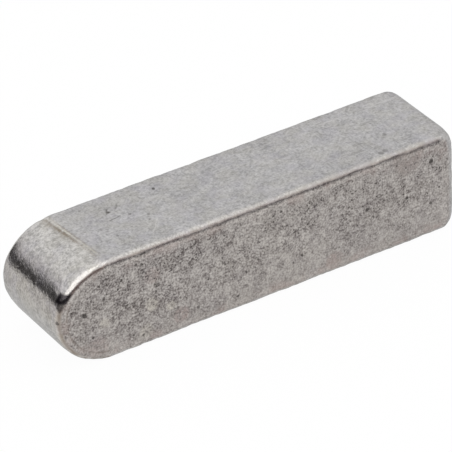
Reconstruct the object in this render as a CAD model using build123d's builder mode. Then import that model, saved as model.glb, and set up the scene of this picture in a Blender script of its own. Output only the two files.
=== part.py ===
from build123d import *
import os

# Parallel key, form AB: a plain square bar with one half-round end and one square end.
#
# Frame: +X runs along the key from the half-round end to the square end, +Y runs through its
# height, from the hub's side to the shaft's side, and +Z runs across its width, from flank to
# flank. The origin is the middle of the key's plan, on the flank that it lies on.

# ---- Driving dimensions, in millimetres ----

key_width = 6.0             # flank to flank, which is also the diameter of the half-round end
key_height = 6.0            # hub's side to shaft's side
key_length = 25.0           # over both ends
long_edge_radius = 0.40     # tumbled edge along the flanks and round the half-round end
square_end_radius = 0.9     # tumbled edge round the square end

# ---- Limits and positions that follow from them ----

# An edge can't be rounded past the middle of the wall that it runs along, and the square
# end keeps some of its flat.
smallest_side = min(key_width, key_height)
long_edge = min(long_edge_radius, 0.45 * smallest_side)
square_edge = min(square_end_radius, 0.45 * smallest_side)

end_radius = key_width / 2
square_end_x = key_length / 2
round_start_x = end_radius - key_length / 2     # where the half-round end leaves the flanks


def key_outline():
    """Closed side view of the key: three straight sides and the half-round end."""
    straight_sides = Polyline(
        (round_start_x, 0),
        (square_end_x, 0),
        (square_end_x, key_width),
        (round_start_x, key_width),
    )
    TangentArc(straight_sides @ 1, straight_sides @ 0, tangent=straight_sides % 1)


with BuildPart() as parallel_key:
    # The cutter that rounds the end passes straight through the height of the key, so the
    # side view is extruded both ways from the middle of that height.
    with BuildSketch(Plane.XZ):
        with BuildLine():
            key_outline()
        make_face()
    extrude(amount=key_height / 2, both=True)

    # The edges round the hub's side and the shaft's side: the flanks' straight edges and the
    # rims of the half round. The square end's own edges are left for the next step.
    flank_edges = parallel_key.edges().filter_by(GeomType.LINE).filter_by(Axis.X)
    rim_edges = parallel_key.edges().filter_by(GeomType.CIRCLE)
    fillet(flank_edges + rim_edges, radius=long_edge)

    # The square end is rounded last and runs out over the long edges, so that its four
    # corners come out smooth.
    square_end = parallel_key.faces().sort_by(Axis.X)[-1]
    fillet(square_end.edges(), radius=square_edge)

parallel_key.part.label = "parallel_key"

os.makedirs("parts", exist_ok=True)
export_step(parallel_key.part, "parts/parallel_key.step")
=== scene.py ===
import math

import bpy
import numpy as np
from mathutils import Matrix, Vector, geometry, noise


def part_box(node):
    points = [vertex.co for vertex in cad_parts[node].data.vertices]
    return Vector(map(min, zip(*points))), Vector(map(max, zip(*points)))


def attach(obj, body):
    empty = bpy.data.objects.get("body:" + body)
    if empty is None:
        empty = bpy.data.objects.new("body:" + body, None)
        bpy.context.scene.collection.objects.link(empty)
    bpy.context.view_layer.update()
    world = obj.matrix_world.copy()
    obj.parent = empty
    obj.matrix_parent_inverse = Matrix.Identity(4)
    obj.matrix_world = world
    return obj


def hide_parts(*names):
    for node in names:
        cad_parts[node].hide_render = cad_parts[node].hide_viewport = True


# Looks of the parallel key: a dense steel skin in place of the CAD solid, the light tent that
# it lies in, and the camera. The frame is the CAD's own: +X runs from the half-round end to
# the square end, +Y through the key's height, and +Z across its width. So the hub's side is
# the flat side at -Y, and the upper flank is the wall at the top.

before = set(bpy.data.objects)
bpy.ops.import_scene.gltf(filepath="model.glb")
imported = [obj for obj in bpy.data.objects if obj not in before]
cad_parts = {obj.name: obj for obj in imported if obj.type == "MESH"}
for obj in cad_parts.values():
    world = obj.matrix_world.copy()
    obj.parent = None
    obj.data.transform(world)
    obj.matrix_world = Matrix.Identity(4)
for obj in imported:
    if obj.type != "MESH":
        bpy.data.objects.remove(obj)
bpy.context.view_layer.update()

MM = 0.001      # the frame is in metres; the skin is worked out in millimetres

# ---- The key's edges, as tumbled ----

LONG_EDGE = 0.40        # radius along the flanks and round the half-round end, mm
SQUARE_EDGE = 0.90      # radius round the square end, mm

# ---- How the real key departs from the plain shape ----

# The half-round end is fuller than a true half circle: by SWELL mm at SWELL_ANGLE round it from
# the upper flank, and by less on both sides of there, over about SWELL_SPREAD.
SWELL = 0.155
SWELL_ANGLE = math.radians(73)
SWELL_SPREAD = math.radians(31)

# The square end stands out at its upper edge. That starts this far before the end, and is
# full 1 mm further on.
SQUARE_END_PROUD = 0.05     # mm
SQUARE_END_REACH = 2.0      # mm

# The half-round end's wall eases down to its rounded edges.
SHOULDER_WIDTH = 0.6        # mm
SHOULDER_DROP = 0.035       # mm

# ---- Fineness of the skin ----

STEP = 0.095            # spacing of the skin's points, mm
FINE_STEP = 0.030       # spacing across the cutter's line, mm
FINE_REACH = 0.5        # how far past that line it goes on round the half-round end, mm
RIM_ROWS = 9            # rows of faces across a rounded edge

# ---- The line where the cutter that rounded the end began, across the upper flank ----

CUTTER_LINE_X = -9.62       # where it crosses the middle of the flank, mm
CUTTER_LINE_SKEW = -0.0844  # how far it leans along X for each mm of Y
CUTTER_LINE_Y = 0.15        # its middle, mm
CUTTER_LINE_REACH = 2.75    # how far it runs from there both ways, mm
CUTTER_LINE_FADE = 0.6      # how far before its ends it starts to fade, mm
CUTTER_LINE_WIDTH = 0.09    # half-width of its groove, mm
CUTTER_LINE_DEPTH = 0.012   # mm
CUTTER_LINE_TILT = 0.4      # share by which its +X side is deeper and its -X side shallower

# ---- Wear ----

WEAR_SEED = 21

# Small dents from tumbling: how many, and the ranges of their radius and depth, mm.
EDGE_DENTS = (150, (0.12, 0.40), (0.006, 0.022))
FACE_DENTS = (150, (0.12, 0.26), (0.006, 0.018))
FLANK_DENTS = (40, (0.12, 0.22), (0.004, 0.010))

# Unevenness everywhere and in the edges: its height in mm and its waves per mm.
FACE_WAVES = (0.004, 0.5)
EDGE_WAVES = (0.022, 0.6)
EDGE_JAGS = (0.014, 2.6)
EXTRA_JAGS = 0.010      # more height of the jags by the hub's side, towards the square end, mm

# Single marks that stand out: place in mm, radius and depth in mm, and how dark they are.
MARKS = (
    ((-10.98, -3.0, 3.26), 0.18, 0.030, 0.9),   # pits in the hub's side, by the half-round end
    ((-7.70, -3.0, 5.16), 0.12, 0.016, 0.8),
    ((-7.38, -3.0, 5.08), 0.14, 0.016, 0.7),
    ((-6.50, -3.0, 3.45), 0.16, 0.014, 0.6),
    ((-9.75, -3.0, 3.85), 0.14, 0.012, 0.6),
    ((-12.52, -2.86, 3.32), 0.13, 0.010, 0.7),
    ((-4.15, -3.0, 1.15), 0.13, 0.014, 0.6),
    ((9.17, -3.0, 2.96), 0.13, 0.026, 0.9),     # pits by its square end
    ((10.78, -3.0, 4.70), 0.18, 0.026, 0.9),
    ((10.70, -3.0, 2.07), 0.13, 0.024, 0.8),
    ((6.59, -3.0, 3.16), 0.16, 0.022, 0.8),
    ((-3.75, 1.72, 6.0), 0.13, 0.022, 0.8),     # pinpricks in the upper flank
    ((-6.90, 1.12, 6.0), 0.13, 0.018, 0.8),
    ((-6.05, 0.30, 6.0), 0.12, 0.014, 0.5),
    ((-5.27, -0.30, 6.0), 0.12, 0.012, 0.4),
    ((-5.45, -0.75, 6.0), 0.12, 0.012, 0.4),
    ((-4.60, 0.65, 6.0), 0.16, 0.010, 0.3),
    ((-7.65, -1.12, 6.0), 0.12, 0.010, 0.4),
    ((9.15, -1.00, 6.0), 0.17, 0.006, 0.3),
    ((7.95, -2.48, 6.0), 0.22, 0.020, 0.4),     # nick beside the upper flank's front edge
    ((8.25, -2.42, 6.0), 0.21, 0.016, 0.4),
)

# The square end's corners at the hub's side, rounded off more: place, radius and depth, mm.
WORN_CORNERS = (
    ((12.15, -2.75, 5.75), 1.15, 0.12),
    ((12.15, -2.75, 0.25), 1.00, 0.05),
)

# Scratches: both ends and half-width in mm, and strength.
DARK_SCRATCHES = (
    ((-7.05, 1.02, 6.0), (-6.85, 1.38, 6.0), 0.08, 0.7),
    ((-7.22, 0.36, 6.0), (-6.55, 0.44, 6.0), 0.08, 0.6),
    ((-6.38, 1.20, 6.0), (-6.15, 1.52, 6.0), 0.10, 0.5),
    ((-8.90, -3.0, 4.05), (-8.72, -3.0, 4.55), 0.07, 0.6),
)
PALE_SCRATCHES = (
    ((-5.05, -0.85, 6.0), (-6.20, -2.30, 6.0), 0.05, 0.5),
    ((-4.70, -0.45, 6.0), (-4.25, -0.12, 6.0), 0.05, 0.4),
    ((-3.75, -1.65, 6.0), (-4.20, -2.30, 6.0), 0.05, 0.4),
    ((2.05, 1.75, 6.0), (2.60, 2.05, 6.0), 0.06, 0.4),
    ((4.35, -3.0, 3.60), (5.10, -3.0, 4.60), 0.05, 0.5),
)

# ---- Colours of the steel, linear ----

# Greys from the darkest to the lightest grain.
FLANK_GREYS = ((0.304, 0.298, 0.299, 1), (0.559, 0.549, 0.549, 1))
SIDE_GREYS = ((0.152, 0.133, 0.129, 1), (0.530, 0.500, 0.475, 1))
ROUND_GREYS = (                     # of the half-round end, from its top down
    ((0.38, 0.37, 0.358, 1), (0.65, 0.632, 0.612, 1)),
    # painted shade: this middle grey, below the dark band, is darker to stand in for the dimmer
    # reflection there
    ((0.30, 0.283, 0.265, 1), (0.50, 0.475, 0.45, 1)),
    ((0.42, 0.41, 0.395, 1), (0.64, 0.625, 0.605, 1)),
)

# Spots and marks.
PIT_BLACK = (0.08, 0.071, 0.067, 1)
PRICKLE_BLACK = (0.10, 0.09, 0.085, 1)
FLANK_SPECK = (0.15, 0.145, 0.15, 1)
ROUND_SPECK = (0.15, 0.14, 0.135, 1)
BRIGHT_SPECK = (0.62, 0.59, 0.56, 1)
MARK_BLACK = (0.06, 0.054, 0.050, 1)
SCRATCH_PALE = (0.66, 0.64, 0.62, 1)
# painted reflection: the dark band carried on into the rounded edge by the hub's side
PAINTED_BAND_BLACK = (0.034, 0.029, 0.034, 1)

# Edges.
BURNISHED = (0.66, 0.625, 0.585, 1)
BURNISHED_DULL = (0.43, 0.405, 0.375, 1)
SCUFFED = (0.36, 0.34, 0.325, 1)
# brown, and dark as painted shade along the edge's reflection of the dark flag
EDGE_BROWN_AND_SHADE = (0.20, 0.13, 0.115, 1)
STRIP_GREYS = ((0.40, 0.37, 0.345, 1), (0.63, 0.585, 0.55, 1))
RUBBED = (0.46, 0.43, 0.40, 1)

# Stains and tints.
RUST = (0.30, 0.20, 0.18, 1)
DULL = (0.23, 0.18, 0.165, 1)
PALE = (0.62, 0.58, 0.50, 1)
BORDER_RUST = (0.34, 0.25, 0.23, 1)
WARM = (0.51, 0.48, 0.38, 1)
BLUISH = (0.46, 0.44, 0.52, 1)

# Stains on the hub's side: place and radius in mm, strength and colour.
STAINS = (
    ((9.30, -3.0, 5.25), 1.10, 0.4600, DULL),
    ((-5.20, -3.0, 1.10), 0.60, 0.3450, RUST),
    ((4.40, -3.0, 0.75), 0.70, 0.3450, RUST),
    ((-6.80, -3.0, 4.15), 0.60, 0.2300, RUST),
    ((-10.30, -3.0, 1.00), 0.80, 0.2875, RUST),
    ((-6.95, -3.0, 2.40), 0.50, 0.4600, PALE),
    ((-5.80, -3.0, 1.90), 0.35, 0.4025, PALE),
    ((-7.35, -3.0, 0.90), 0.55, 0.2875, PALE),
    ((-9.80, -3.0, 2.35), 0.40, 0.2875, PALE),
    ((0.50, -3.0, 3.00), 4.50, 0.0690, PALE),
)

# ---- Grain of the steel ----

# Noise from fine to broad: waves per mm and roughness.
GRAIN = (9.0, 0.6)
COARSE = (4.5, 0.6)
BLOTCHES = (1.6, 0.6)
CLUSTERS = (0.40, 0.5)

# How much each of those four moves the steel's lightness.
FLANK_SHARES = (0.82, 1.38, 0.82, 0.5)
SIDE_SHARES = (1.45, 1.25, 0.6, 0.35)
ROUND_SHARES = (1.4, 1.9, 1.2, 0.7)

# Scattered spots, as Shader.scattered takes them: shift, cells per mm, share and radius.
PITS = (0.0, 4.6, 0.50, 0.36)
BROAD_PITS = (0.0, 1.7, 0.16, 0.20)
PRICKLES = (9.2, 6.5, 0.55, 0.42)
BRIGHT_SPECKS = (3.1, 5.0, 0.40, 0.34)
FLANK_SPECKS = (5.3, 1.6, 0.45, 0.15)
FINE_FLANK_SPECKS = (2.2, 3.4, 0.16, 0.26)

# The outlines of spots and marks wander, within a range in mm, in waves per mm.
RAGGED_RANGE = 0.14
RAGGED_SCALE = 7.0

# ---- Camera ----

CAMERA_AZIMUTH = math.radians(30.03)    # round the key, from straight in front of the hub's side
CAMERA_ELEVATION = math.radians(32.34)
CAMERA_ROLL = math.radians(3.48)
CAMERA_DISTANCE = 226.5 * MM
CAMERA_LENS = 337.5                     # mm
CAMERA_SENSOR = 36                      # mm
AIM_RIGHT = -0.390 * MM                 # where the camera aims, from the key's middle
AIM_UP = 0.092 * MM

# ---- Dark flags of the light tent, in degrees as seen from the key ----

# Each flag's start and end round the key, from +X towards +Y, its lower and upper edge, and
# the shade of its felt. The first four stand behind the half-round end: a black one between
# paler ones, so that its reflection ends softly. The last one stands in front of the hub's side.
FLAGS = (
    (105, 200, -0.9, 1.8, 0.37),
    (105, 200, 1.8, 15.2, 0.062),
    (105, 200, 15.2, 21, 0.27),
    (105, 139, 21, 29, 0.62),
    (200, 310, -14, 18, 0.19),
)
FLAG_DISTANCE = 0.30    # m
FLAG_STEPS = 48         # faces along a flag

# ---- Soft lamps: name, direction from the key, size in m and radiance ----

SOFTBOXES = (
    ("left_softbox", (-0.45, -0.45, 0.77), 0.60, 0.72),
    ("right_softbox", (0.45, -0.42, 0.79), 0.40, 0.25),
)
SOFTBOX_DISTANCE = 0.5  # m

# ---- Floor ----

FLOOR_RADIUS = 40 * MM
FLOOR_CORNERS = 96
FLOOR_WHITE = 0.85
GLOW_SEEN = 0.96        # share of the floor's white that is its own, for the camera
GLOW_REFLECTED = 0.70   # and in reflections


# ---- Skin of the key ----

def half_round(low, high):
    """The half-round end's axis, in X and in Z, and its radius."""
    radius = (high.z - low.z) / 2
    return low.x + radius, (low.z + high.z) / 2, radius


def outline_stations(low, high):
    """Points round the side view, each with its place on the flat face's border and the depth
    of its rounded edge.

    They run along the lower flank, up the square end, back along the upper flank and round
    the half-round end."""
    round_x, middle_z, end_radius = half_round(low, high)
    corner_x = high.x - SQUARE_EDGE
    stations = []

    def add(x, z, face_x, face_z, depth):
        stations.append((x, z, face_x, face_z, depth))

    def add_corner(flank_z, side, shares):
        """A corner of the square end, where the edge radius grows from the long edge's to the
        square end's. side is -1 at the lower flank and 1 at the upper one, and shares say how
        far each point is from the flank to the square end."""
        growth = SQUARE_EDGE - LONG_EDGE
        for share in shares:
            angle = side * math.pi / 2 * (1 - share)
            add(
                corner_x + SQUARE_EDGE * math.cos(angle),
                flank_z - side * SQUARE_EDGE * (1 - side * math.sin(angle)),
                corner_x,
                flank_z - side * LONG_EDGE - side * growth * share,
                LONG_EDGE + growth * share * share * (3 - 2 * share),
            )

    def flank_xs():
        """Positions along the upper flank from the square end, closer at the cutter's line."""
        reach = abs(CUTTER_LINE_SKEW) * (high.y - low.y) / 2 + 4 * CUTTER_LINE_WIDTH
        fine_from = min(CUTTER_LINE_X + reach, corner_x)
        coarse = np.linspace(corner_x, fine_from, round((corner_x - fine_from) / STEP) + 1)
        fine = np.arange(fine_from - FINE_STEP, round_x, -FINE_STEP)
        return [*coarse, *fine]

    def round_angles():
        """Angles round the half-round end from the upper flank, closer at the cutter's line,
        which may lie on its first degrees."""
        fine_angle = math.asin(min(1.0, (round_x - CUTTER_LINE_X + FINE_REACH) / end_radius))
        coarse_steps = round((math.pi - fine_angle) * end_radius / STEP)
        fine = np.arange(0, fine_angle, FINE_STEP / end_radius)
        coarse = np.linspace(fine_angle, math.pi, coarse_steps + 1)
        return [*fine, *coarse[:-1]]

    # lower flank
    for x in np.linspace(round_x, corner_x, round((corner_x - round_x) / STEP) + 1):
        add(x, low.z, x, low.z + LONG_EDGE, LONG_EDGE)

    # square end, between its two corners
    corner_steps = round(math.pi / 2 * SQUARE_EDGE / STEP)
    shares = [i / corner_steps for i in range(1, corner_steps)]
    end_low = low.z + SQUARE_EDGE
    end_high = high.z - SQUARE_EDGE
    add_corner(low.z, -1, shares)
    for z in np.linspace(end_low, end_high, round((end_high - end_low) / STEP) + 1):
        add(high.x, z, corner_x, z, SQUARE_EDGE)
    add_corner(high.z, 1, [1 - share for share in shares])

    # upper flank
    for x in flank_xs():
        add(x, high.z, x, high.z - LONG_EDGE, LONG_EDGE)

    # half-round end
    face_radius = end_radius - LONG_EDGE
    for angle in round_angles():
        out_x = -math.sin(angle)
        out_z = math.cos(angle)
        add(round_x + end_radius * out_x, middle_z + end_radius * out_z,
            round_x + face_radius * out_x, middle_z + face_radius * out_z, LONG_EDGE)
    return np.array(stations)


def skin_rows(stations, low, high):
    """The skin's points between the two flat faces: one row of stations after another, from
    the border of one flat face over its rounded edge, across the wall, to the other face.

    Each row also says how far it is from the wall round the edge, as an angle."""
    x, z, face_x, face_z, depth = stations.T
    wall_rows = round((high.y - low.y - 2 * LONG_EDGE) / STEP)
    rows = []
    rims = []

    def add_row(y, angle):
        inward = 1 - math.cos(angle)
        rows.append(np.stack([x + (face_x - x) * inward, y, z + (face_z - z) * inward], 1))
        rims.append(angle)

    for k in range(RIM_ROWS):
        angle = math.pi / 2 * (1 - k / RIM_ROWS)
        add_row(low.y + depth * (1 - math.sin(angle)), angle)
    for k in range(wall_rows + 1):
        add_row((low.y + depth) + (high.y - low.y - 2 * depth) * k / wall_rows, 0.0)
    for k in range(1, RIM_ROWS + 1):
        angle = math.pi / 2 * k / RIM_ROWS
        add_row(high.y - depth * (1 - math.sin(angle)), angle)
    return np.array(rows), np.array(rims)


def flat_face(border, low, high):
    """Even triangles over one flat face: its border and a honeycomb of points inside it. Each
    point also says which points of the border and honeycomb it comes from."""
    round_x, middle_z, end_radius = half_round(low, high)
    margin = 0.6 * STEP
    row_step = STEP * math.sqrt(3) / 2
    inside = []
    for row in range(int((high.z - low.z) / row_step)):
        z = low.z + (row + 0.5) * row_step
        if abs(z - middle_z) > end_radius - LONG_EDGE - margin:
            continue
        for x in np.arange(low.x + STEP / 2 * (row % 2), high.x - SQUARE_EDGE - margin, STEP):
            reach = math.hypot(min(x - round_x, 0), z - middle_z)
            if reach < end_radius - LONG_EDGE - margin:
                inside.append(Vector((x, z)))
    points = [Vector(p) for p in border] + inside
    count = len(border)
    edges = [(i, (i + 1) % count) for i in range(count)]
    inside_only = 1
    nearness = 1e-6
    made = geometry.delaunay_2d_cdt(points, edges, [], inside_only, nearness)
    places, _, triangles, origins, _, _ = made
    return places, triangles, origins


def key_mesh(low, high):
    """One closed mesh of the whole key, in mm, before wear. Also says for each point how far
    round a rounded edge it lies, as an angle: 0 on the walls, a right angle on the flat faces."""
    stations = outline_stations(low, high)
    rows, rims = skin_rows(stations, low, high)
    row_count, around = rows.shape[:2]
    points = [*rows.reshape(-1, 3)]
    rim_angles = [*np.repeat(rims, around)]
    faces = []
    for row in range(row_count - 1):
        for i in range(around):
            j = (i + 1) % around
            a = row * around
            b = a + around
            faces.append((a + i, b + i, b + j, a + j))
    for row, y, turned in ((0, low.y, False), (row_count - 1, high.y, True)):
        border = rows[row][:, [0, 2]]
        places, triangles, origins = flat_face(border, low, high)
        index = []
        for place, origin in zip(places, origins):
            if origin and origin[0] < around:
                index.append(row * around + origin[0])
            else:
                index.append(len(points))
                points.append(np.array([place[0], y, place[1]]))
                rim_angles.append(math.pi / 2)
        for triangle in triangles:
            corners = [index[k] for k in triangle]
            faces.append(tuple(reversed(corners)) if turned else tuple(corners))
    return np.array(points), np.array(rim_angles), faces


def smooth_step(value):
    """0 to 1 over the range 0 to 1, level at both ends."""
    t = np.clip(value, 0, 1)
    return t * t * (3 - 2 * t)


def waves(points, height, scale):
    """Soft noise of about -height to height at each point; scale is in waves per mm."""
    falloff = 0.8
    lacunarity = 2.0
    octaves = 2
    return height * np.array([
        noise.fractal(Vector(p) * scale, falloff, lacunarity, octaves)
        for p in points
    ])


def true_outline(points, low, high):
    """Moves the plain shape's points to the real key's outline, which is fuller round the
    half-round end and a little longer."""
    round_x, middle_z, end_radius = half_round(low, high)
    across = points[:, [0, 2]] - (round_x, middle_z)
    angle = np.arctan2(-across[:, 0], across[:, 1])
    swell = SWELL * np.exp(-((angle - SWELL_ANGLE) / SWELL_SPREAD) ** 2)
    swell *= smooth_step(-across[:, 0]) / end_radius
    moved = points.copy()
    moved[:, [0, 2]] += across * swell[:, None]
    upper = smooth_step((points[:, 2] - low.z) / (high.z - low.z))
    grown = smooth_step(points[:, 0] - (high.x - SQUARE_END_REACH))
    moved[:, 0] += SQUARE_END_PROUD * upper * grown
    return moved


def shoulder_relief(points, rim_angles, low, high):
    """How far each point of the half-round end's wall eases down towards its rounded edges."""
    round_x, _, _ = half_round(low, high)
    from_edge = np.minimum(points[:, 1] - low.y, high.y - points[:, 1]) - LONG_EDGE
    eased = np.clip(1 - from_edge / SHOULDER_WIDTH, 0, 1) ** 2
    return -SHOULDER_DROP * eased * np.cos(rim_angles) * smooth_step(round_x - points[:, 0])


def dent_relief(points, places, radii, depths):
    """How far each point is pushed in by round dents with soft rims."""
    relief = np.zeros(len(points))
    for place, radius, depth in zip(places, radii, depths):
        near = np.flatnonzero(np.abs(points[:, 0] - place[0]) < radius)
        away = np.linalg.norm(points[near] - place, axis=1) / radius
        relief[near] -= depth * smooth_step(1 - away)
    return relief


def cutter_line(points, high):
    """1 on the cutter's line across the upper flank, fading to 0 within its width; and which
    side of the line a point is on, from -1 to 1."""
    line_x = CUTTER_LINE_X + CUTTER_LINE_SKEW * points[:, 1]
    across = (points[:, 0] - line_x) / CUTTER_LINE_WIDTH
    upper = smooth_step((points[:, 2] - high.z + 0.25) / 0.15)
    to_end = CUTTER_LINE_REACH - np.abs(points[:, 1] - CUTTER_LINE_Y)
    upper *= smooth_step(to_end / CUTTER_LINE_FADE)
    return np.exp(-across * across) * upper, np.tanh(across)


def worn(points, normals, rim_angles, low, high):
    """Moves the points by the key's unevenness, its dents and the cutter's line."""
    on_edge = np.sin(2 * rim_angles)        # 1 halfway round an edge, 0 beside it
    relief = waves(points, *FACE_WAVES)
    jag_height, jag_scale = EDGE_JAGS
    to_square_end = smooth_step((points[:, 0] + 2) / 8)
    jag_height = jag_height + EXTRA_JAGS * to_square_end * smooth_step(-points[:, 1])
    jags = waves(points, jag_height, jag_scale)
    relief += on_edge * (waves(points, *EDGE_WAVES) + jags)
    relief += shoulder_relief(points, rim_angles, low, high)
    rng = np.random.default_rng(WEAR_SEED)

    def dents(mask, count, radius_range, depth_range):
        chosen = rng.choice(np.flatnonzero(mask), count)
        radii = rng.uniform(*radius_range, count)
        depths = rng.uniform(*depth_range, count)
        return dent_relief(points, points[chosen], radii, depths)

    flat_side = rim_angles > 1.5
    wall = rim_angles < 0.05
    relief += dents(on_edge > 0.8, *EDGE_DENTS)
    relief += dents(flat_side, *FACE_DENTS)
    relief += dents(wall, *FLANK_DENTS)
    for place, radius, depth in [*(mark[:3] for mark in MARKS), *WORN_CORNERS]:
        relief += dent_relief(points, [place], [radius], [depth])
    line, side = cutter_line(points, high)
    relief -= CUTTER_LINE_DEPTH * line
    relief -= CUTTER_LINE_TILT * CUTTER_LINE_DEPTH * line * side
    return points + normals * relief[:, None]


def steel_masks(points, rim_angles, low, high):
    """What the steel reads of each point: how far round a rounded edge it lies, from 0 on the
    walls to 1 on the flat sides; and whether it is clear of the square end's rounding, on the
    half-round end, and near the border of a flat side or outside that."""
    round_x, middle_z, end_radius = half_round(low, high)
    reach = np.hypot(np.minimum(points[:, 0] - round_x, 0), points[:, 2] - middle_z)
    from_border = np.minimum(end_radius - LONG_EDGE - reach,
                             high.x - SQUARE_EDGE - points[:, 0])
    return {
        "rim": rim_angles / (math.pi / 2),
        "long_edge": smooth_step((high.x - SQUARE_EDGE - points[:, 0]) / 0.4),
        "round_end": smooth_step((round_x - points[:, 0]) / 0.15),
        "near_border": 1 - smooth_step(from_border / 0.7),
    }


def build_key(low, high):
    """The key's skin as an object, with its wear and the masks that its steel reads."""
    points, rim_angles, faces = key_mesh(low, high)
    mesh = bpy.data.meshes.new("parallel_key_skin")
    mesh.from_pydata(points, [], faces)
    normals = np.zeros(len(points) * 3)
    mesh.vertex_normals.foreach_get("vector", normals)
    normals = normals.reshape(-1, 3)
    placed = worn(true_outline(points, low, high), normals, rim_angles, low, high)
    mesh.vertices.foreach_set("co", (placed * MM).ravel())
    mesh.polygons.foreach_set("use_smooth", [True] * len(faces))
    for name, values in steel_masks(points, rim_angles, low, high).items():
        mesh.attributes.new(name, "FLOAT", "POINT").data.foreach_set("value", values)
    mesh.update()
    key = bpy.data.objects.new("parallel_key_skin", mesh)
    bpy.context.scene.collection.objects.link(key)
    return key


# ---- Materials ----

class Shader:
    """A material's nodes, added and linked in one call each."""

    def __init__(self, name):
        self.material = bpy.data.materials.new(name)
        self.material.use_nodes = True
        self.tree = self.material.node_tree
        self.tree.nodes.clear()

    def node(self, kind, inputs=None, **settings):
        """Adds a node; inputs maps socket names to values or to other nodes' outputs."""
        made = self.tree.nodes.new(kind)
        for name, value in settings.items():
            setattr(made, name, value)
        for name, value in (inputs or {}).items():
            if isinstance(value, bpy.types.NodeSocket):
                self.tree.links.new(value, made.inputs[name])
            else:
                made.inputs[name].default_value = value
        return made

    def math(self, operation, a, b=0.0, c=0.0):
        """The result of one math node."""
        return self.node("ShaderNodeMath", {0: a, 1: b, 2: c}, operation=operation).outputs[0]

    def product(self, first, *others):
        """Several values multiplied together."""
        for other in others:
            first = self.math("MULTIPLY", first, other)
        return first

    def scaled(self, value, factor, added):
        """value times factor, plus added."""
        return self.math("MULTIPLY_ADD", value, factor, added)

    def fit(self, value, from_low, from_high, to_low=0.0, to_high=1.0):
        """value's range mapped to another one, held inside it, with soft ends."""
        inputs = {"Value": value, "From Min": from_low, "From Max": from_high,
                  "To Min": to_low, "To Max": to_high}
        return self.node("ShaderNodeMapRange", inputs, interpolation_type="SMOOTHSTEP").outputs[0]

    def mix(self, factor, a, b):
        """Colour a where factor is 0 and b where it is 1."""
        made = self.node("ShaderNodeMix", data_type="RGBA")
        for socket, value in ((made.inputs[0], factor), (made.inputs[6], a), (made.inputs[7], b)):
            if isinstance(value, bpy.types.NodeSocket):
                self.tree.links.new(value, socket)
            else:
                socket.default_value = value
        return made.outputs[2]

    def paint(self, colour, shade, presence, strength):
        """shade over colour, as far as presence times strength covers it."""
        return self.mix(self.product(presence, strength), colour, shade)

    def noise(self, place, scale, detail, roughness):
        """Soft noise round 0.5; scale is in waves per unit of place."""
        inputs = {"Vector": place, "Scale": scale, "Detail": detail, "Roughness": roughness}
        return self.node("ShaderNodeTexNoise", inputs).outputs[0]

    def band(self, value, middle, half_width):
        """1 where value is at middle, fading to 0 half_width away."""
        away = self.math("ABSOLUTE", self.math("SUBTRACT", value, middle))
        return self.fit(away, half_width, 0.0)

    def mask(self, name):
        """What the mesh says of itself under that name."""
        return self.node("ShaderNodeAttribute", attribute_name=name).outputs["Fac"]

    def axes(self, place):
        """A place's X, Y and Z."""
        split = self.node("ShaderNodeSeparateXYZ", {"Vector": place})
        return split.outputs["X"], split.outputs["Y"], split.outputs["Z"]

    def shifted(self, place, by):
        """place, moved by as much along all three axes."""
        return self.node("ShaderNodeVectorMath", {0: place, 1: (by, by, by)}).outputs[0]

    def scattered(self, place, shift, scale, share, size):
        """Small round spots in some cells of a random pattern: its shift, its cells per mm, the
        share of the cells that hold a spot, and a spot's radius as a share of a cell."""
        inputs = {"Vector": self.shifted(place, shift), "Scale": scale}
        cells = self.node("ShaderNodeTexVoronoi", inputs)
        draw = self.node("ShaderNodeSeparateColor", {"Color": cells.outputs["Color"]}).outputs[0]
        chosen = self.math("LESS_THAN", draw, share)
        spot = self.fit(cells.outputs["Distance"], size, 0.35 * size)
        return self.math("MULTIPLY", chosen, spot)

    def spot(self, place, centre, radius):
        """1 at centre, fading to 0 at radius, in mm."""
        away = self.node("ShaderNodeVectorMath", {0: place, 1: centre}, operation="DISTANCE")
        return self.fit(away.outputs["Value"], radius, 0.55 * radius)

    def stroke(self, place, start, end, half_width):
        """1 on the line from start to end, fading to 0 half_width away, in mm."""
        along = Vector(end) - Vector(start)
        from_start = self.node("ShaderNodeVectorMath", {0: place, 1: start}, operation="SUBTRACT")
        share = self.node("ShaderNodeVectorMath", {
            0: from_start.outputs[0],
            1: along / along.length_squared,
        }, operation="DOT_PRODUCT")
        held = self.node("ShaderNodeClamp", {"Value": share.outputs["Value"]}).outputs[0]
        nearest = self.node("ShaderNodeVectorMath", {0: along, "Scale": held}, operation="SCALE")
        away = self.node("ShaderNodeVectorMath", {
            0: from_start.outputs[0],
            1: nearest.outputs[0],
        }, operation="DISTANCE")
        return self.fit(away.outputs["Value"], half_width, 0.0)

    def largest(self, values):
        """The largest of several values."""
        top = values[0]
        for value in values[1:]:
            top = self.math("MAXIMUM", top, value)
        return top

    def millimetres(self):
        """The object's own coordinates, in mm."""
        place = self.node("ShaderNodeTexCoord").outputs["Object"]
        inputs = {0: place, "Scale": 1 / MM}
        return self.node("ShaderNodeVectorMath", inputs, operation="SCALE").outputs[0]

    def wandering(self, place, scale, by):
        """place, moved up to about half of by to and fro, so that what is drawn there has
        ragged outlines."""
        inputs = {"Vector": place, "Scale": scale, "Detail": 1.0}
        drift = self.node("ShaderNodeTexNoise", inputs).outputs["Color"]
        inputs = {0: drift, 1: (by, by, by), 2: self.shifted(place, -by / 2)}
        return self.node("ShaderNodeVectorMath", inputs, operation="MULTIPLY_ADD").outputs[0]

    def finish(self, surface):
        """Gives the material its surface, and hands it over."""
        self.node("ShaderNodeOutputMaterial", {"Surface": surface})
        return self.material


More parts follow.
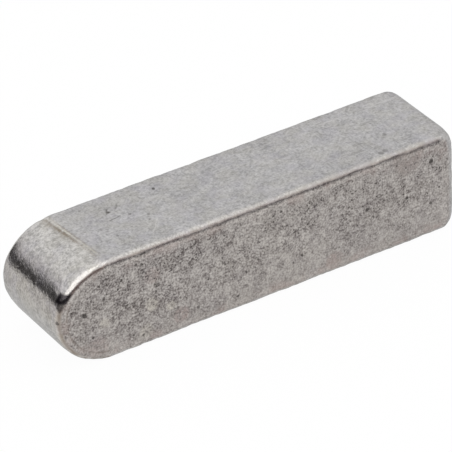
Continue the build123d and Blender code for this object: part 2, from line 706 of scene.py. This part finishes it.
class TumbledSteel(Shader):
    """Bright steel, tumbled to a dull grey: finely mottled flanks, pitted flat sides, a more
    polished half-round end and burnished edges. Each method works out one part of that."""

    def __init__(self):
        super().__init__("tumbled_steel")
        self.place = self.millimetres()
        self.ragged = self.wandering(self.place, RAGGED_SCALE, RAGGED_RANGE)
        self.x, self.y, self.height = self.axes(self.place)
        self.rounder = self.fit(self.x, 1.0, -7.0)      # 1 towards the half-round end
        self.rim = self.mask("rim")
        self.long_edge = self.mask("long_edge")
        self.round_end = self.mask("round_end")
        self.near_border = self.mask("near_border")
        self.flat_side = self.fit(self.rim, 0.55, 0.90)
        self.wall = self.fit(self.rim, 0.90, 0.55)
        self.edge = self.product(self.band(self.rim, 0.45, 0.40), self.long_edge)
        # where the half-round end reflects the dark flags
        self.shoulder = self.product(self.band(self.height, 4.55, 0.75), self.round_end)
        self.grain, self.coarse, self.blotches, self.clusters = (
            self.noise(self.place, scale, 1.0, roughness)
            for scale, roughness in (GRAIN, COARSE, BLOTCHES, CLUSTERS)
        )
        self.find_spots()
        self.find_marks()

    def find_spots(self):
        """Small ragged pits, more of them where the clusters are dark and in the upper part,
        and a few bright specks; and other specks for the walls."""
        patches = self.scaled(self.blotches, 0.6, self.product(self.clusters, 0.4))
        crowd = self.fit(patches, 0.57, 0.43, 0.20, 1.30)
        crowd = self.product(crowd, self.fit(self.height, 0.8, 3.6, 0.3, 1.0))
        pits = self.product(self.scattered(self.ragged, *PITS), crowd)
        self.pits = self.math("MAXIMUM", pits, self.scattered(self.ragged, *BROAD_PITS))
        self.prickles = self.product(self.scattered(self.ragged, *PRICKLES), crowd)
        self.bright_specks = self.scattered(self.ragged, *BRIGHT_SPECKS)
        flank_specks = self.math("MAXIMUM", self.scattered(self.ragged, *FLANK_SPECKS),
                                 self.scattered(self.ragged, *FINE_FLANK_SPECKS))
        self.flank_specks = self.product(flank_specks, self.scaled(self.rounder, 0.6, 0.4))

    def find_marks(self):
        """The single marks, and the scratches."""
        spots = [
            self.product(self.spot(self.ragged, centre, radius), strength)
            for centre, radius, _, strength in MARKS
        ]
        dark, pale = (
            [
                self.product(self.stroke(self.ragged, start, end, half_width), strength)
                for start, end, half_width, strength in scratches
            ]
            for scratches in (DARK_SCRATCHES, PALE_SCRATCHES)
        )
        self.marks = self.largest(spots + dark)
        self.scratches = self.largest(pale)

    def lightness(self, shares):
        """About 0.5, moved by each layer of noise times its share."""
        light = 0.5 - sum(shares) / 2
        layers = (self.grain, self.coarse, self.blotches, self.clusters)
        for layer, share in zip(layers, shares):
            light = self.scaled(layer, share, light)
        return light

    def flank_colour(self):
        colour = self.mix(self.lightness(FLANK_SHARES), *FLANK_GREYS)
        return self.paint(colour, FLANK_SPECK, self.flank_specks, 0.5)

    def side_colour(self):
        """The flat sides: plainer low down, rougher by the half-round end, stained and pitted."""
        plain = 0.56
        calm = self.fit(self.height, 2.8, 0.6, 0.08, 0.28)
        calm = self.scaled(self.rounder, -0.20, calm)
        calm = self.scaled(self.round_end, 0.09, calm)
        light = self.lightness(SIDE_SHARES)
        light = self.scaled(self.math("SUBTRACT", plain, light), calm, light)
        colour = self.mix(light, *SIDE_GREYS)
        mottle = self.fit(self.coarse, 0.36, 0.62, 0.3, 1.0)
        for centre, radius, strength, shade in STAINS:
            stain = self.product(self.spot(self.ragged, centre, radius), mottle)
            colour = self.paint(colour, shade, stain, strength)
        colour = self.paint(colour, BRIGHT_SPECK, self.bright_specks, 0.6)
        colour = self.paint(colour, PRICKLE_BLACK, self.prickles, 0.75)
        return self.paint(colour, PIT_BLACK, self.pits, 0.95)

    def round_colour(self):
        """The half-round end's wall, in three greys from its top down. The middle one, below the
        dark band, is darker: painted shade standing in for the dimmer reflection there.
        """
        light = self.lightness(ROUND_SHARES)
        upper, painted_shade_under_band, lower = (self.mix(light, *greys) for greys in ROUND_GREYS)
        colour = self.mix(self.fit(self.height, 5.0, 4.2), upper, painted_shade_under_band)
        colour = self.mix(self.fit(self.height, 3.9, 2.4), colour, lower)
        specks = self.math("MAXIMUM", self.product(self.pits, 0.3),
                           self.product(self.flank_specks, 0.45))
        return self.mix(specks, colour, ROUND_SPECK)

    def with_edges(self, colour):
        """Edges burnished to a creamy tone and scuffed, a thin brown line where the flat side
        begins, darkened as painted shade along the dark flag's reflection, and a paler strip beside
        that."""
        dull = self.product(self.fit(self.grain, 0.60, 0.38), self.scaled(self.round_end, -0.4, 1.0))
        burnished = self.mix(dull, BURNISHED, BURNISHED_DULL)
        colour = self.paint(colour, burnished, self.edge, self.fit(self.x, 3.0, 11.0, 0.55, 0.30))
        scuffs = self.product(self.fit(self.coarse, 0.42, 0.60),
                              self.fit(self.x, -8.0, 8.0, 0.0, 0.90))
        colour = self.paint(colour, SCUFFED, scuffs, self.edge)

        # the line is brown, and its darkness is painted shade that deepens the reflection of the
        # dark flag in front of the hub's side; it ends where the rim goes below the upper flank, and
        # is stronger towards the half-round end
        brown_and_shade_line = self.product(
            self.band(self.rim, self.scaled(self.round_end, 0.13, 0.65), 0.23),
            self.long_edge,
            self.fit(self.height, 4.2, 5.0, 0.0, 0.49),
            self.scaled(self.rounder, 0.16, 0.84),
            self.scaled(self.round_end, 0.55, 1.0),
        )
        colour = self.mix(brown_and_shade_line, colour, EDGE_BROWN_AND_SHADE)

        # the strip is clearest along the upper flank and fades towards the square end
        strip = self.product(
            self.fit(self.near_border, 0.72, 0.92),
            self.fit(self.rim, 0.92, 1.0),
            self.fit(self.height, 4.4, 5.2, 0.25, 0.45),
            self.fit(self.x, 5.0, 10.0, 1.0, 0.4),
        )
        colour = self.mix(strip, colour, self.mix(self.fit(self.grain, 0.38, 0.60), *STRIP_GREYS))

        # low down, the borders of the flat sides are rubbed a little paler
        rubbed = self.product(self.near_border, self.fit(self.height, 1.4, 0.7))
        return self.paint(colour, RUBBED, rubbed, 0.16)

    def with_low_rim(self, colour):
        """Round the lower half of the half-round end the edge is brown, with a darker line a
        little past its middle and another just inside the flat side."""
        low_rim = self.product(self.round_end, self.fit(self.height, 4.6, 4.0))
        broken = self.fit(self.blotches, 0.36, 0.56, 0.1, 1.0)
        for measure, middle, half_width, strength, shade in (
            (self.rim, 0.40, 0.40, 0.30, (0.40, 0.33, 0.27, 1)),
            (self.rim, 0.60, 0.34, 0.80, (0.21, 0.165, 0.135, 1)),
            (self.near_border, 0.84, 0.16, 0.60, (0.15, 0.12, 0.105, 1)),
        ):
            stripe = self.product(self.band(measure, middle, half_width), low_rim, broken)
            colour = self.paint(colour, shade, stripe, strength)
        return colour

    def with_tints(self, colour):
        """Faint rust along the borders of the flat sides, and faint warm and bluish tints in
        broad patches everywhere, more of them on the walls."""
        rust = self.product(
            self.fit(self.noise(self.place, 0.9, 2.0, 0.6), 0.48, 0.66),
            self.near_border,
            self.fit(self.rim, 0.70, 0.85),
        )
        colour = self.paint(colour, BORDER_RUST, rust, 0.28)
        for shift, scale, absent, full, on_walls, elsewhere, shade in (
            (7.7, 0.8, 0.38, 0.64, 0.10, 0.03, WARM),
            (4.1, 0.9, 0.46, 0.64, 0.12, 0.02, BLUISH),
        ):
            patch = self.noise(self.shifted(self.place, shift), scale, 2.0, 0.6)
            strength = self.scaled(self.wall, on_walls, elsewhere)
            colour = self.paint(colour, shade, self.fit(patch, absent, full), strength)
        return colour

    def with_painted_band_reflection(self, colour):
        """A painted reflection: black where the half-round end's upper quarter meets the hub's side,
        carrying the dark band's reflection on into the rounded edge.
        """
        band_reflection = self.product(
            self.fit(self.height, 4.90, 4.78),
            self.fit(self.height, 4.26, 4.44),
            self.fit(self.y, -2.34, -2.54),
            self.fit(self.rim, 0.96, 0.78),
            self.round_end,
        )
        return self.paint(colour, PAINTED_BAND_BLACK, band_reflection, 0.94)

    def with_cutter_line(self, colour):
        """The cutter's line: two brown lines with a pale burr between them, and beside them in its
        back half a broader brown stripe of painted shadow."""
        line_x = self.scaled(self.y, CUTTER_LINE_SKEW, CUTTER_LINE_X)
        ragged_x, _, _ = self.axes(self.ragged)
        across = self.math("SUBTRACT", ragged_x, line_x)
        from_middle = self.math("ABSOLUTE", self.math("SUBTRACT", self.y, CUTTER_LINE_Y))
        present = self.product(
            self.fit(self.noise(self.place, 2.5, 3.0, 0.7), 0.30, 0.54, 0.35, 1.0),
            self.fit(self.height, 5.8, 5.95),
            self.fit(from_middle, 2.7, 2.2),
        )
        brown = self.product(present, self.fit(self.y, -1.4, 0.8, 0.40, 1.0))
        painted_shadow_back_half = self.product(brown, self.fit(self.y, -0.8, 0.6))
        brown = self.product(brown, self.fit(self.y, 2.3, 1.1, 0.5, 1.0))
        burr = self.product(present, self.fit(self.y, 2.2, 1.0, 0.4, 1.0))
        for middle, half_width, presence, strength, shade in (
            # painted shadow: a broad soft brown stripe on the line's -X side
            (-0.22, 0.34, painted_shadow_back_half, 0.50, (0.28, 0.25, 0.21, 1)),
            (-0.12, 0.17, brown, 0.80, (0.22, 0.18, 0.135, 1)),
            (0.05, 0.08, burr, 0.45, (0.62, 0.58, 0.47, 1)),
            (0.15, 0.09, brown, 0.60, (0.25, 0.21, 0.165, 1)),
        ):
            stripe = self.product(self.band(across, middle, half_width), presence)
            colour = self.paint(colour, shade, stripe, strength)
        return colour

    def fine_relief(self):
        """Fine unevenness, stronger in its broad waves than in its grain, with pits and marks
        sunk in."""
        relief = self.scaled(self.grain, 0.35, self.product(self.coarse, 0.7))
        relief = self.scaled(self.blotches, 1.5, relief)
        relief = self.scaled(self.product(self.coarse, self.shoulder), 1.7, relief)
        relief = self.scaled(self.product(self.grain, self.shoulder), 0.5, relief)
        sunk = self.product(self.math("MAXIMUM", self.pits, self.marks), 0.5)
        relief = self.math("SUBTRACT", relief, sunk)
        inputs = {"Height": relief, "Strength": 1.0, "Distance": 0.005 * MM}
        return self.node("ShaderNodeBump", inputs).outputs[0]

    def roughness(self):
        """Smoother walls than flat sides, and smoothest where the dark flags are reflected."""
        return self.scaled(self.shoulder, -0.04, self.scaled(self.flat_side, 0.15, 0.23))


def steel_material():
    """The key's steel: the colours of its parts, then what lies over them from the broadest
    to the single marks."""
    steel = TumbledSteel()
    colour = steel.mix(steel.round_end, steel.flank_colour(), steel.round_colour())
    colour = steel.mix(steel.flat_side, colour, steel.side_colour())
    colour = steel.with_edges(colour)
    colour = steel.with_low_rim(colour)
    colour = steel.with_tints(colour)
    # painted reflection of the dark band, on the edge by the hub's side
    colour = steel.with_painted_band_reflection(colour)
    colour = steel.with_cutter_line(colour)
    colour = steel.mix(steel.scratches, colour, SCRATCH_PALE)
    colour = steel.mix(steel.marks, colour, MARK_BLACK)
    surface = steel.node("ShaderNodeBsdfPrincipled", {
        "Base Color": colour,
        "Metallic": 1.0,
        "Roughness": steel.roughness(),
        "Specular Tint": (0.65, 0.65, 0.65, 1),
        "Normal": steel.fine_relief(),
    })
    return steel.finish(surface.outputs[0])


def floor_material():
    """White card: part of its white is its own, so that the key's shadow stays soft."""
    s = Shader("white_card")
    white = (FLOOR_WHITE, FLOOR_WHITE, FLOOR_WHITE, 1)
    paper = s.node("ShaderNodeBsdfDiffuse", {"Color": white})
    glow = s.node("ShaderNodeEmission", {"Color": (1, 1, 1, 1), "Strength": 1.0})
    rays = s.node("ShaderNodeLightPath").outputs
    reflected = s.math("MAXIMUM", rays["Is Glossy Ray"], rays["Is Transmission Ray"])
    share = s.scaled(rays["Is Camera Ray"], GLOW_SEEN, s.product(reflected, GLOW_REFLECTED))
    mixed = s.node("ShaderNodeMixShader", {0: share, 1: paper.outputs[0], 2: glow.outputs[0]})
    return s.finish(mixed.outputs[0])


def flag_material(shade):
    """Felt of the flags that give the steel its dark reflections, very slightly violet."""
    s = Shader("felt")
    violet = (1.03 * shade, shade, 1.05 * shade, 1)
    felt = s.node("ShaderNodeBsdfDiffuse", {"Color": violet})
    return s.finish(felt.outputs[0])


# ---- Studio ----

def mesh_object(name, points, faces, material):
    """A new object with that mesh and material."""
    mesh = bpy.data.meshes.new(name)
    mesh.from_pydata(points, [], faces)
    mesh.materials.append(material)
    made = bpy.data.objects.new(name, mesh)
    bpy.context.scene.collection.objects.link(made)
    return made


def arc_points(radius, z, turns):
    """Points on a level circle round the Z axis, at those angles from +X."""
    return [(radius * math.cos(turn), radius * math.sin(turn), z) for turn in turns]


def add_floor():
    """A small round white card under the key; the white dome shows round it."""
    turns = [2 * math.pi * i / FLOOR_CORNERS for i in range(FLOOR_CORNERS)]
    points = arc_points(FLOOR_RADIUS, 0.0, turns)
    floor = mesh_object("floor", points, [tuple(range(FLOOR_CORNERS))], floor_material())


def add_flags():
    """Curved dark cards that stand round the key, out of the camera's sight."""
    for number, (start, end, low_edge, high_edge, shade) in enumerate(FLAGS, 1):
        turns = np.radians(np.linspace(start, end, FLAG_STEPS + 1))
        points = []
        for edge in (low_edge, high_edge):
            z = FLAG_DISTANCE * math.tan(math.radians(edge))
            points += arc_points(FLAG_DISTANCE, z, turns)
        count = len(turns)
        faces = [(i, i + 1, count + i + 1, count + i) for i in range(FLAG_STEPS)]
        flag = mesh_object(f"flag_{number}", points, faces, flag_material(shade))
        flag.visible_camera = False


def add_softbox(name, toward, size, radiance):
    """A square area light that faces the key from the direction toward."""
    light = bpy.data.lights.new(name, "AREA")
    light.shape = "SQUARE"
    light.size = size
    light.energy = radiance * math.pi * size * size
    lamp = bpy.data.objects.new(name, light)
    lamp.location = Vector(toward).normalized() * SOFTBOX_DISTANCE
    lamp.rotation_euler = Vector(toward).to_track_quat("Z", "Y").to_euler()
    bpy.context.scene.collection.objects.link(lamp)


def add_world():
    """A plain white dome."""
    world = bpy.data.worlds.new("tent")
    world.use_nodes = True
    background = world.node_tree.nodes["Background"]
    background.inputs["Color"].default_value = (1, 1, 1, 1)
    background.inputs["Strength"].default_value = 1.0
    bpy.context.scene.world = world


def add_camera(middle):
    """A long lens from the half-round end's side, a little rolled."""
    across = math.cos(CAMERA_ELEVATION)
    back = Vector((-math.sin(CAMERA_AZIMUTH) * across, -math.cos(CAMERA_AZIMUTH) * across,
                   math.sin(CAMERA_ELEVATION)))
    right = Vector((0, 0, 1)).cross(back).normalized()
    up = back.cross(right)
    turn = Matrix.Rotation(-CAMERA_ROLL, 3, back)
    right = turn @ right
    up = turn @ up
    data = bpy.data.cameras.new("camera")
    data.lens = CAMERA_LENS
    data.sensor_width = CAMERA_SENSOR
    data.clip_start = 10 * MM
    camera = bpy.data.objects.new("camera", data)
    place = middle + right * AIM_RIGHT + up * AIM_UP + back * CAMERA_DISTANCE
    axes = Matrix((right, up, back)).transposed().to_4x4()
    camera.matrix_world = Matrix.Translation(place) @ axes
    bpy.context.scene.collection.objects.link(camera)
    bpy.context.scene.camera = camera


# ---- Scene ----

low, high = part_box("parallel_key")
key = build_key(low / MM, high / MM)
key.data.materials.append(steel_material())
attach(key, "root")
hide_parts("parallel_key")

add_floor()
add_flags()
for softbox in SOFTBOXES:
    add_softbox(*softbox)
add_world()
add_camera((low + high) / 2)

bpy.context.scene.view_settings.view_transform = "Standard"
